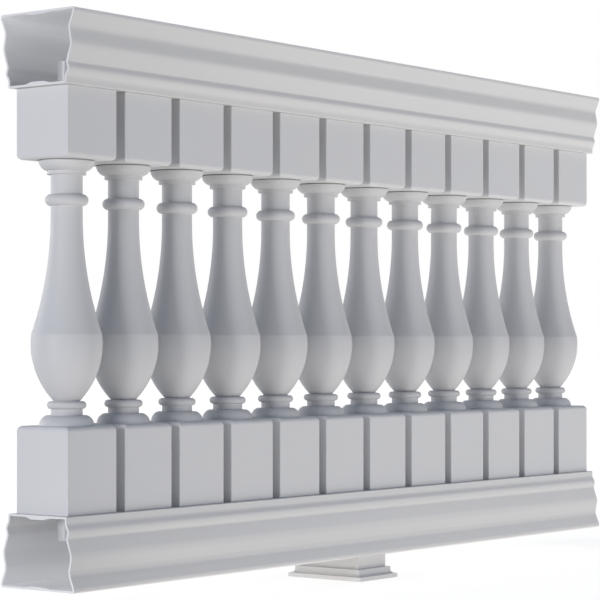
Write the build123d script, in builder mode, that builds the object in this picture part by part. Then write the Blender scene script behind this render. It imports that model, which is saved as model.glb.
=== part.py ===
from build123d import *
import os

os.makedirs("parts", exist_ok=True)

# One section of a white synthetic balustrade. X runs along the rails, the front faces -Y,
# and Z = 0 is the sole of the foot under mid-length. All lengths are in millimetres.

# Layout along the rails
section_length = 1828.8
block_gap = 24.4

# Rail extrusion: corners of its outline before rounding, out from the middle and up from the seat
rail_width = 183.0
rail_height = 134.5
nose_height = 8.0
nose_radius = 5.0
nose_blend_radius = 6.0
cove_width = 161.0
cove_drop = 34.0
cove_radius = 20.0
bend_width = 172.8
bend_share = 0.51
bend_radius = 28.0
quirk_width = 151.6
quirk_rise = 38.5
quirk_radius = 5.0
bead_width = 160.6
bead_rise = 26.0
bead_radius = 13.0
seat_width = 145.0
seat_height = 13.5
seat_blend_radius = 12.0
seat_radius = 2.0
rail_wall = 4.0

# Ribs that thicken the middle of the seat wall and of the crown wall, inside the hollow
rib_base_width = 62.0
rib_flat_width = 30.0
seat_rib_height = 4.0
crown_rib_height = 2.0

# Square blocks above and below each turned baluster
block_width = 128.0
upper_block_height = 129.0
lower_block_height = 159.0
block_edge_radius = 9.0
block_corner_radius = 1.2
block_joint_chamfer = 1.0

# Turned baluster, stacked from the base to the cap
base_radius = 50.0
base_waist_radius = 46.5
base_waist_height = 11.5
shoulder_radius = 37.5
base_height = 18.5
neck_radius = 29.0
low_neck_height = 11.7
low_bead_height = 14.0
belly_foot_radius = 23.5
belly_radius = 65.3
belly_rise = 104.6
crease_radius = 64.3
crease_rise = 121.6
flare_rise = 215.0
flare_neck_height = 18.3
bead_height = 21.1
high_neck_height = 35.6
fillet_radius = 35.5
fillet_height = 6.7
ovolo_height = 16.0
ovolo_waist_radius = 46.2
ovolo_waist_height = 6.2
cap_radius = 51.0
cap_band_height = 1.5
reveal_radius = 45.0
reveal_height = 1.8

# Core rod through each baluster, standing out inside both rails
core_radius = 16.7
core_clearance = 0.25
core_reach = 50.0

# Foot under mid-length
foot_height = 50.5
post_length = 97.0
post_depth = 153.0
post_edge_radius = 1.0
band_margin = 7.5
lip_margin = 10.5
collar_height = 23.0
collar_lip_height = 8.5
collar_cove_radius = 8.0

# Heights that follow from the stack
turned_height = (
    base_height + low_neck_height + low_bead_height + crease_rise + flare_rise + flare_neck_height
    + bead_height + high_neck_height + fillet_height + ovolo_height + cap_band_height + reveal_height
)
bottom_rail_seat = foot_height + rail_height
turned_base = bottom_rail_seat + lower_block_height
turned_top = turned_base + turned_height
top_rail_seat = turned_top + upper_block_height
bore_radius = core_radius + core_clearance

# Levels of the rail's cove and bend above its seat; the bend is a share of the way from quirk to cove
cove_rise = rail_height - cove_drop
bend_rise = quirk_rise + (cove_rise - quirk_rise) * bend_share

# As many balusters as fit between the rail ends, centred on mid-length
baluster_pitch = block_width + block_gap
baluster_count = int((section_length - block_width) / baluster_pitch) + 1
first_baluster = -baluster_pitch * (baluster_count - 1) / 2
baluster_places = [first_baluster + baluster_pitch * index for index in range(baluster_count)]


def rib_outline(root, top):
    # Shallow trapezium on a wall's inner face: root is that face, top is the rib's flat.
    Polyline(
        (-rib_base_width / 2, root),
        (-rib_flat_width / 2, top),
        (rib_flat_width / 2, top),
        (rib_base_width / 2, root),
        close=True,
    )


def rail_section():
    # Hollow cross-section with its seat on the sketch's X axis and its crown above it.
    with BuildSketch() as section:
        with BuildLine():
            FilletPolyline(
                (0, rail_height),
                (rail_width / 2, rail_height),
                (rail_width / 2, rail_height - nose_height),
                (cove_width / 2, cove_rise),
                (bend_width / 2, bend_rise),
                (quirk_width / 2, quirk_rise),
                (bead_width / 2, bead_rise),
                (seat_width / 2, seat_height),
                (seat_width / 2, 0),
                (0, 0),
                radius=(
                    nose_radius, nose_blend_radius, cove_radius, bend_radius, quirk_radius,
                    bead_radius, seat_blend_radius, seat_radius,
                ),
            )
            mirror(about=Plane.YZ)
        make_face()
        offset(amount=-rail_wall, kind=Kind.INTERSECTION, mode=Mode.SUBTRACT)
        with BuildLine():
            rib_outline(rail_wall, rail_wall + seat_rib_height)
        make_face()
        with BuildLine():
            rib_outline(rail_height - rail_wall, rail_height - rail_wall - crown_rib_height)
        make_face()
    return section.sketch


# Top rail: crown up, pierced by the core rods through its seat wall
with BuildPart() as top_rail:
    with BuildSketch(Plane((-section_length / 2, 0, top_rail_seat), x_dir=(0, 1, 0), z_dir=(1, 0, 0))):
        add(rail_section())
    extrude(amount=section_length)
    with BuildSketch(Plane((0, 0, top_rail_seat))):
        with Locations([(place, 0) for place in baluster_places]):
            Circle(bore_radius)
    extrude(amount=rail_wall + seat_rib_height, mode=Mode.SUBTRACT)
top_rail.part.label = "top_rail"
export_step(top_rail.part, "parts/top_rail.step")

# Bottom rail: the same extrusion turned upside down, so its section is drawn downwards
with BuildPart() as bottom_rail:
    with BuildSketch(Plane((section_length / 2, 0, bottom_rail_seat), x_dir=(0, 1, 0), z_dir=(-1, 0, 0))):
        add(rail_section())
    extrude(amount=section_length)
    with BuildSketch(Plane((0, 0, bottom_rail_seat))):
        with Locations([(place, 0) for place in baluster_places]):
            Circle(bore_radius)
    extrude(amount=-rail_wall - seat_rib_height, mode=Mode.SUBTRACT)
bottom_rail.part.label = "bottom_rail"
export_step(bottom_rail.part, "parts/bottom_rail.step")

# Upper blocks: square, with the lower edges rounded towards the turning
for number, place in enumerate(baluster_places, start=1):
    with BuildPart() as upper_block:
        with BuildSketch(Plane((place, 0, turned_top))):
            Rectangle(block_width, block_width)
        extrude(amount=upper_block_height)
        fillet(upper_block.edges().group_by(Axis.Z)[0], radius=block_edge_radius)
        fillet(upper_block.edges().filter_by(Axis.Z), radius=block_corner_radius)
        chamfer(upper_block.edges().group_by(Axis.Z)[-1], length=block_joint_chamfer)
        with BuildSketch(Plane((place, 0, turned_top))):
            Circle(bore_radius)
        extrude(amount=upper_block_height, mode=Mode.SUBTRACT)
    upper_block.part.label = f"upper_block_{number:02d}"
    export_step(upper_block.part, f"parts/upper_block_{number:02d}.step")

# Lower blocks: taller, with the upper edges rounded towards the turning
for number, place in enumerate(baluster_places, start=1):
    with BuildPart() as lower_block:
        with BuildSketch(Plane((place, 0, bottom_rail_seat))):
            Rectangle(block_width, block_width)
        extrude(amount=lower_block_height)
        fillet(lower_block.edges().group_by(Axis.Z)[-1], radius=block_edge_radius)
        fillet(lower_block.edges().filter_by(Axis.Z), radius=block_corner_radius)
        chamfer(lower_block.edges().group_by(Axis.Z)[0], length=block_joint_chamfer)
        with BuildSketch(Plane((place, 0, bottom_rail_seat))):
            Circle(bore_radius)
        extrude(amount=lower_block_height, mode=Mode.SUBTRACT)
    lower_block.part.label = f"lower_block_{number:02d}"
    export_step(lower_block.part, f"parts/lower_block_{number:02d}.step")

# Levels of the turning above its own base
shoulder_level = base_height
low_bead_level = shoulder_level + low_neck_height
belly_level = low_bead_level + low_bead_height
crease_level = belly_level + crease_rise
flare_level = crease_level + flare_rise
bead_level = flare_level + flare_neck_height
high_neck_level = bead_level + bead_height
fillet_level = high_neck_level + high_neck_height
ovolo_level = fillet_level + fillet_height
cap_level = ovolo_level + ovolo_height
reveal_level = cap_level + cap_band_height

# Turned balusters: half profile from the bore outwards, revolved about each upright axis
for number, place in enumerate(baluster_places, start=1):
    with BuildPart() as baluster:
        with BuildSketch(Plane((place, 0, turned_base), x_dir=(1, 0, 0), z_dir=(0, -1, 0))):
            with BuildLine():
                Line((bore_radius, 0), (base_radius, 0))
                ThreePointArc(
                    (base_radius, 0),
                    (base_waist_radius, base_waist_height),
                    (shoulder_radius, shoulder_level),
                )
                Line((shoulder_radius, shoulder_level), (neck_radius, shoulder_level))
                Line((neck_radius, shoulder_level), (neck_radius, low_bead_level))
                ThreePointArc(
                    (neck_radius, low_bead_level),
                    (neck_radius + low_bead_height / 2, low_bead_level + low_bead_height / 2),
                    (neck_radius, belly_level),
                )
                Line((neck_radius, belly_level), (belly_foot_radius, belly_level))
                ThreePointArc(
                    (belly_foot_radius, belly_level),
                    (belly_radius, belly_level + belly_rise),
                    (crease_radius, crease_level),
                )
                TangentArc((neck_radius, flare_level), (crease_radius, crease_level), tangent=(0, -1))
                Line((neck_radius, flare_level), (neck_radius, bead_level))
                ThreePointArc(
                    (neck_radius, bead_level),
                    (neck_radius + bead_height / 2, bead_level + bead_height / 2),
                    (neck_radius, high_neck_level),
                )
                Line((neck_radius, high_neck_level), (neck_radius, fillet_level))
                Line((neck_radius, fillet_level), (fillet_radius, fillet_level))
                Line((fillet_radius, fillet_level), (fillet_radius, ovolo_level))
                ThreePointArc(
                    (fillet_radius, ovolo_level),
                    (ovolo_waist_radius, ovolo_level + ovolo_waist_height),
                    (cap_radius, cap_level),
                )
                Line((cap_radius, cap_level), (cap_radius, reveal_level))
                Line((cap_radius, reveal_level), (reveal_radius, reveal_level))
                Line((reveal_radius, reveal_level), (reveal_radius, turned_height))
                Line((reveal_radius, turned_height), (bore_radius, turned_height))
                Line((bore_radius, turned_height), (bore_radius, 0))
            make_face()
        revolve(axis=Axis((place, 0, 0), (0, 0, 1)))
    baluster.part.label = f"baluster_{number:02d}"
    export_step(baluster.part, f"parts/baluster_{number:02d}.step")

# Core rods, one through each baluster and into both rails
with BuildPart() as core_rods:
    with BuildSketch(Plane((0, 0, bottom_rail_seat - core_reach))):
        with Locations([(place, 0) for place in baluster_places]):
            Circle(core_radius)
    extrude(amount=top_rail_seat - bottom_rail_seat + core_reach + core_reach)
core_rods.part.label = "core_rods"
export_step(core_rods.part, "parts/core_rods.step")

# Foot post: rectangular, from the sole up to the crown of the bottom rail
with BuildPart() as foot_post:
    with BuildSketch(Plane((0, 0, 0))):
        Rectangle(post_length, post_depth)
    extrude(amount=foot_height)
    fillet(foot_post.edges().filter_by(Axis.Z), radius=post_edge_radius)
foot_post.part.label = "foot_post"
export_step(foot_post.part, "parts/foot_post.step")

# Foot collar: lip, cove and band around the post
band_length = post_length + band_margin + band_margin
band_depth = post_depth + band_margin + band_margin
with BuildPart() as foot_collar:
    with BuildSketch(Plane((0, 0, 0))):
        Rectangle(band_length + lip_margin + lip_margin, band_depth + lip_margin + lip_margin)
    extrude(amount=collar_lip_height)
    with BuildSketch(Plane((0, 0, 0))):
        Rectangle(band_length, band_depth)
    extrude(amount=collar_height)
    lip_edges = foot_collar.edges().filter_by_position(Axis.Z, collar_lip_height, collar_lip_height)
    inner_edges = lip_edges.filter_by_position(Axis.X, -band_length / 2, band_length / 2)
    inner_edges = inner_edges.filter_by_position(Axis.Y, -band_depth / 2, band_depth / 2)
    fillet(inner_edges, radius=collar_cove_radius)
    with BuildSketch(Plane((0, 0, 0))):
        Rectangle(post_length, post_depth)
    extrude(amount=collar_height, mode=Mode.SUBTRACT)
foot_collar.part.label = "foot_collar"
export_step(foot_collar.part, "parts/foot_collar.step")
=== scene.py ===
import math

import bpy
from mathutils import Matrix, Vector

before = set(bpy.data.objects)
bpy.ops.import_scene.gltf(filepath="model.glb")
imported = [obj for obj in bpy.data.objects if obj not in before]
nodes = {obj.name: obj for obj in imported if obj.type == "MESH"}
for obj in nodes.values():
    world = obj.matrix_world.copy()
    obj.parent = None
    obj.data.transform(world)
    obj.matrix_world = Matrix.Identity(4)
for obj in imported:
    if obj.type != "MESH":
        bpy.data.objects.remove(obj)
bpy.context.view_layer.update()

scene = bpy.context.scene
scene.view_settings.view_transform = "Standard"


# Colour and shader helpers

def srgb(hex_colour):
    """Linear RGBA for an sRGB hex value."""
    steps = [int(hex_colour[i:i + 2], 16) / 255 for i in (1, 3, 5)]
    return tuple(s / 12.92 if s <= 0.04045 else ((s + 0.055) / 1.055) ** 2.4 for s in steps) + (1.0,)


def put(tree, kind, links=None, **settings):
    """Adds a node; a setting is one of its properties or the value of one of its inputs."""
    node = tree.nodes.new(kind)
    for name, value in settings.items():
        if hasattr(node, name):
            setattr(node, name, value)
        else:
            node.inputs[name.replace("_", " ")].default_value = value
    for socket, source in (links or {}).items():
        tree.links.new(source, node.inputs[socket])
    return node


def new_material(name):
    """An empty material and its node tree."""
    material = bpy.data.materials.new(name)
    material.use_nodes = True
    material.node_tree.nodes.clear()
    return material, material.node_tree


def surface(tree, tone, gloss, relief, **settings):
    """Joins a material's tone, gloss and relief in the surface that the eye meets."""
    skin = put(tree, "ShaderNodeBsdfPrincipled", {
        "Base Color": tone.outputs["Result"],
        "Roughness": gloss.outputs["Result"],
        "Normal": relief.outputs["Normal"],
    }, **settings)
    put(tree, "ShaderNodeOutputMaterial", {"Surface": skin.outputs["BSDF"]})


def mm(size):
    """Cycles per metre of a pattern whose features are this many millimetres across."""
    return 1000.0 / size


# Materials

def extruded_vinyl(dark, light):
    """Satin white vinyl skin of the rails and the foot, as it leaves the die.

    It gives the eye faint die lines along the rail and a sheen that drifts with them.
    """
    material, tree = new_material("extruded_vinyl")
    place = put(tree, "ShaderNodeTexCoord")
    # Die lines are about 1 mm apart; they are drawn 5 mm wide so that they show.
    along = put(tree, "ShaderNodeMapping", {"Vector": place.outputs["Object"]},
                Scale=(mm(700), mm(5), mm(5)))
    lines = put(tree, "ShaderNodeTexNoise", {"Vector": along.outputs["Vector"]},
                Scale=1.0, Detail=3.0, Roughness=0.6)
    # Slow drift in tone from cooling, about 250 mm across.
    drift = put(tree, "ShaderNodeTexNoise", {"Vector": place.outputs["Object"]}, Scale=mm(250), Detail=2.0)
    tone = put(tree, "ShaderNodeMix", {"Factor": drift.outputs["Fac"]},
               data_type="RGBA", A=srgb(dark), B=srgb(light))
    gloss = put(tree, "ShaderNodeMapRange", {"Value": lines.outputs["Fac"]}, To_Min=0.3, To_Max=0.42)
    relief = put(tree, "ShaderNodeBump", {"Height": lines.outputs["Fac"]}, Strength=0.25, Distance=0.0003)
    surface(tree, tone, gloss, relief, IOR=1.53)
    return material


def bare_vinyl(name, dark, light):
    """Vinyl without its satin skin, in the hollow of the rails and on their sawn ends.

    It gives the eye a whiter, chalkier face with slanting saw marks.
    """
    material, tree = new_material(name)
    place = put(tree, "ShaderNodeTexCoord")
    # Saw marks are under 1 mm apart; they are drawn 3 mm wide so that they show.
    slant = put(tree, "ShaderNodeMapping", {"Vector": place.outputs["Object"]},
                Rotation=(0.5, 0.0, 0.0), Scale=(mm(900), mm(60), mm(3)))
    marks = put(tree, "ShaderNodeTexNoise", {"Vector": slant.outputs["Vector"]}, Scale=1.0, Detail=2.0)
    tone = put(tree, "ShaderNodeMix", {"Factor": marks.outputs["Fac"]},
               data_type="RGBA", A=srgb(dark), B=srgb(light))
    gloss = put(tree, "ShaderNodeMapRange", {"Value": marks.outputs["Fac"]}, To_Min=0.55, To_Max=0.75)
    relief = put(tree, "ShaderNodeBump", {"Height": marks.outputs["Fac"]}, Strength=0.2, Distance=0.0003)
    surface(tree, tone, gloss, relief, IOR=1.53)
    return material


def paint_hollow_glow(material, middle, seat, crown):
    """Paints a glow on the wall of the hollow, least at the seat and most under the crown: painted light
    for light that reaches the hollow.

    The seat's and the crown's levels are measured from the middle, so both rails share one material.
    """
    tree = material.node_tree
    place = put(tree, "ShaderNodeTexCoord")
    spot = put(tree, "ShaderNodeSeparateXYZ", {"Vector": place.outputs["Object"]})
    level = put(tree, "ShaderNodeMath", {0: spot.outputs["Z"]}, operation="SUBTRACT")
    level.inputs[1].default_value = middle
    reach = put(tree, "ShaderNodeMath", {0: level.outputs["Value"]}, operation="ABSOLUTE")
    glow = put(tree, "ShaderNodeMapRange", {"Value": reach.outputs["Value"]},
               From_Min=seat, From_Max=crown, To_Min=0.0, To_Max=0.19)
    skin = tree.nodes["Principled BSDF"]
    # Painted light: the hollow's wall glows though it is no lamp, darker towards the seat.
    skin.inputs["Emission Color"].default_value = srgb("#FAFBFF")
    tree.links.new(glow.outputs["Result"], skin.inputs["Emission Strength"])


def moulded_polymer(name, dark, light):
    """Matte white polymer of the balusters and their blocks, as it leaves the mould.

    It gives the eye a fine stipple and a slightly uneven sheen.
    """
    material, tree = new_material(name)
    place = put(tree, "ShaderNodeTexCoord")
    # The mould's stipple is under 1 mm; it is drawn at 3 mm so that it shows.
    stipple = put(tree, "ShaderNodeTexNoise", {"Vector": place.outputs["Object"]}, Scale=mm(3), Detail=3.0)
    # Slow drift in tone and sheen, about 140 mm across.
    drift = put(tree, "ShaderNodeTexNoise", {"Vector": place.outputs["Object"]}, Scale=mm(140), Detail=2.0)
    tone = put(tree, "ShaderNodeMix", {"Factor": drift.outputs["Fac"]},
               data_type="RGBA", A=srgb(dark), B=srgb(light))
    gloss = put(tree, "ShaderNodeMapRange", {"Value": drift.outputs["Fac"]}, To_Min=0.48, To_Max=0.6)
    relief = put(tree, "ShaderNodeBump", {"Height": stipple.outputs["Fac"]}, Strength=0.15, Distance=0.0003)
    surface(tree, tone, gloss, relief, IOR=1.5, Specular_IOR_Level=0.3)
    return material


def drawn_vinyl(dark, light):
    """Plain grey vinyl of the core rods, drawn to size.

    It gives the eye a darker, bluer and glossier face than the mouldings, with lines along the rod.
    """
    material, tree = new_material("drawn_vinyl")
    place = put(tree, "ShaderNodeTexCoord")
    # Drawn lines are under 1 mm apart; they are drawn 3 mm wide so that they show.
    along = put(tree, "ShaderNodeMapping", {"Vector": place.outputs["Object"]},
                Scale=(mm(3), mm(3), mm(300)))
    lines = put(tree, "ShaderNodeTexNoise", {"Vector": along.outputs["Vector"]}, Scale=1.0, Detail=2.0)
    tone = put(tree, "ShaderNodeMix", {"Factor": lines.outputs["Fac"]},
               data_type="RGBA", A=srgb(dark), B=srgb(light))
    gloss = put(tree, "ShaderNodeMapRange", {"Value": lines.outputs["Fac"]}, To_Min=0.28, To_Max=0.4)
    relief = put(tree, "ShaderNodeBump", {"Height": lines.outputs["Fac"]}, Strength=0.2, Distance=0.0002)
    surface(tree, tone, gloss, relief, IOR=1.53)
    return material


# Finishes of the pieces

def heights(node):
    """Lowest and highest level of a piece."""
    levels = [corner[2] for corner in node.bound_box]
    return min(levels), max(levels)


# A face of a rail whose normal runs along the rail by more than this share is a sawn end.
sawn_share = 0.9


def rail_slot(face, axis_height):
    """Which finish a face of a rail has: 0 the skin, 1 the hollow, 2 a sawn end."""
    if abs(face.normal.x) > sawn_share:
        return 2
    outwards = face.normal.y * face.center.y + face.normal.z * (face.center.z - axis_height)
    return 1 if outwards < 0 else 0


rail_skin = extruded_vinyl("#CECECF", "#D2D1D0")
rail_hollow = bare_vinyl("hollow_vinyl", "#D6D6D7", "#DEDEDE")
rail_cut = bare_vinyl("sawn_vinyl", "#D8D9DA", "#E0E0E0")
block_polymer = moulded_polymer("moulded_polymer_block", "#D0D1D3", "#D3D3D4")
# The turned balusters get a darker copy of the blocks' polymer: painted shade for the shade the balusters
# cast on one another.
shaded_turned_polymer = moulded_polymer("moulded_polymer_turned_shaded", "#C8C9CB", "#CCCCCD")
rod_vinyl = drawn_vinyl("#B0B2B5", "#B8BABC")

top_seat, top_crown = heights(nodes["top_rail"])
bottom_seat = max(heights(nodes["bottom_rail"]))
mid_height = (top_seat + bottom_seat) / 2
# The hollow of both rails gets the painted glow, darker towards the seat.
paint_hollow_glow(rail_hollow, mid_height, top_seat - mid_height, top_crown - mid_height)

for name, node in nodes.items():
    node.data.materials.clear()
    if name.endswith("_rail"):
        for finish in (rail_skin, rail_hollow, rail_cut):
            node.data.materials.append(finish)
        axis_height = sum(heights(node)) / 2
        for face in node.data.polygons:
            face.material_index = rail_slot(face, axis_height)
    elif name.startswith("foot_"):
        node.data.materials.append(rail_skin)
    elif name.startswith("core_"):
        node.data.materials.append(rod_vinyl)
    else:
        # Turned pieces take the darker copy with painted shade; blocks take the plain one.
        node.data.materials.append(block_polymer if "_block_" in name else shaded_turned_polymer)


# Stage: white sweep, soft light, and the camera at the photographed angle

floor_size = 120.0


def mirrored_or_seen(tree):
    """1 for the rays that meet plain white: the camera's own, and those that mirror and pass through."""
    ray = put(tree, "ShaderNodeLightPath")
    mirrored = put(tree, "ShaderNodeMath", {
        0: ray.outputs["Is Glossy Ray"],
        1: ray.outputs["Is Transmission Ray"],
    }, operation="MAXIMUM")
    seen = put(tree, "ShaderNodeMath", {
        0: ray.outputs["Is Camera Ray"],
        1: mirrored.outputs["Value"],
    }, operation="MAXIMUM")
    return seen.outputs["Value"]


def white_sweep():
    """Matte paper sweep that takes the object's shadow and lights the mouldings from below."""
    material, tree = new_material("white_sweep")
    place = put(tree, "ShaderNodeTexCoord")
    # The light from below is warm; it fades out past the near rail end and behind the row.
    bright_side = (0.77, -0.64, 0.0)
    reach = put(tree, "ShaderNodeVectorMath", {0: place.outputs["Object"]}, operation="DOT_PRODUCT")
    reach.inputs[1].default_value = bright_side
    cast = put(tree, "ShaderNodeMapRange", {"Value": reach.outputs["Value"]},
               From_Min=-1.05, From_Max=-0.4, To_Min=0.08, To_Max=1.17)
    # To the eye the sweep is under white near the object, so that the shadow shows, and whiter farther off.
    span = put(tree, "ShaderNodeVectorMath", {0: place.outputs["Object"]}, operation="LENGTH")
    shown = put(tree, "ShaderNodeMapRange", {"Value": span.outputs["Value"]},
                From_Min=1.0, From_Max=6.0, To_Min=0.85, To_Max=0.95)
    seen = mirrored_or_seen(tree)
    glow = put(tree, "ShaderNodeMix", {
        "Factor": seen,
        "A": cast.outputs["Result"],
        "B": shown.outputs["Result"],
    })
    hue = put(tree, "ShaderNodeMix", {"Factor": seen},
              data_type="RGBA", A=srgb("#FFFBF6"), B=srgb("#FFFFFF"))
    skin = put(tree, "ShaderNodeBsdfPrincipled", {
        "Emission Strength": glow.outputs["Result"],
        "Emission Color": hue.outputs["Result"],
    }, Roughness=1.0, Base_Color=srgb("#6E6E6E"))
    put(tree, "ShaderNodeOutputMaterial", {"Surface": skin.outputs["BSDF"]})
    bpy.ops.mesh.primitive_plane_add(size=floor_size)
    floor = bpy.context.object
    floor.name = "floor"
    floor.data.materials.append(material)


def studio_walls():
    """Dim bluish walls, so that the mouldings shade one another; seen or mirrored, they are plain white."""
    world = bpy.data.worlds.new("studio")
    scene.world = world
    world.use_nodes = True
    tree = world.node_tree
    tree.nodes.clear()
    soft = put(tree, "ShaderNodeBackground", Strength=0.2, Color=srgb("#B4D0FF"))
    plain = put(tree, "ShaderNodeBackground", Strength=1.0, Color=srgb("#FFFFFF"))
    both = put(tree, "ShaderNodeMixShader", {
        "Fac": mirrored_or_seen(tree),
        1: soft.outputs["Background"],
        2: plain.outputs["Background"],
    })
    put(tree, "ShaderNodeOutputWorld", {"Surface": both.outputs["Shader"]})


def soft_box(name, place, aim, size, power, colour="#FFFFFF"):
    """A square soft box that faces a point of the object."""
    light = bpy.data.lights.new(name, "AREA")
    light.size = size
    light.energy = power
    light.color = srgb(colour)[:3]
    lamp = bpy.data.objects.new(name, light)
    lamp.location = place
    lamp.rotation_euler = (Vector(aim) - Vector(place)).to_track_quat("-Z", "Y").to_euler()
    scene.collection.objects.link(lamp)


white_sweep()
studio_walls()
# The left box looks along the row, so that each baluster shades the next.
soft_box("left_soft_box", place=(-6.6, -0.15, 1.0), aim=(-0.9, 0.0, 0.6), size=1.7, power=205.0,
         colour="#FDFCFF")
# The front box reaches the whole row from the right, and the right box favours the far end.
soft_box("front_soft_box", place=(4.4, -10.4, 0.8), aim=(0.0, 0.0, 0.55), size=4.0, power=118.0)
soft_box("right_soft_box", place=(2.6, -2.0, 0.7), aim=(0.9, 0.0, 0.55), size=1.0, power=7.0)
# The top box lights the crown, which shades most of what is below it; the back box fills the far side.
soft_box("top_soft_box", place=(0.0, 0.0, 5.5), aim=(0.0, 0.0, 1.0), size=0.5, power=75.0)
soft_box("back_soft_box", place=(-1.5, 6.0, 1.4), aim=(0.0, 0.0, 0.6), size=3.0, power=110.0)

# The camera is level, on a long lens, and stands off the near rail end.
# Its frame is shifted up to take in the crown.
view_angle = math.radians(37.873)
camera_data = bpy.data.cameras.new("camera")
camera_data.sensor_width = 36.0
camera_data.lens = 132.45
camera_data.shift_x = -0.00083
camera_data.shift_y = 0.0757
camera_data.clip_end = 500.0
camera = bpy.data.objects.new("camera", camera_data)
camera.location = (-3.7465, -2.8005, 0.4896)
camera.rotation_euler = (math.pi / 2, 0.0, view_angle - math.pi / 2)
scene.collection.objects.link(camera)
scene.camera = camera
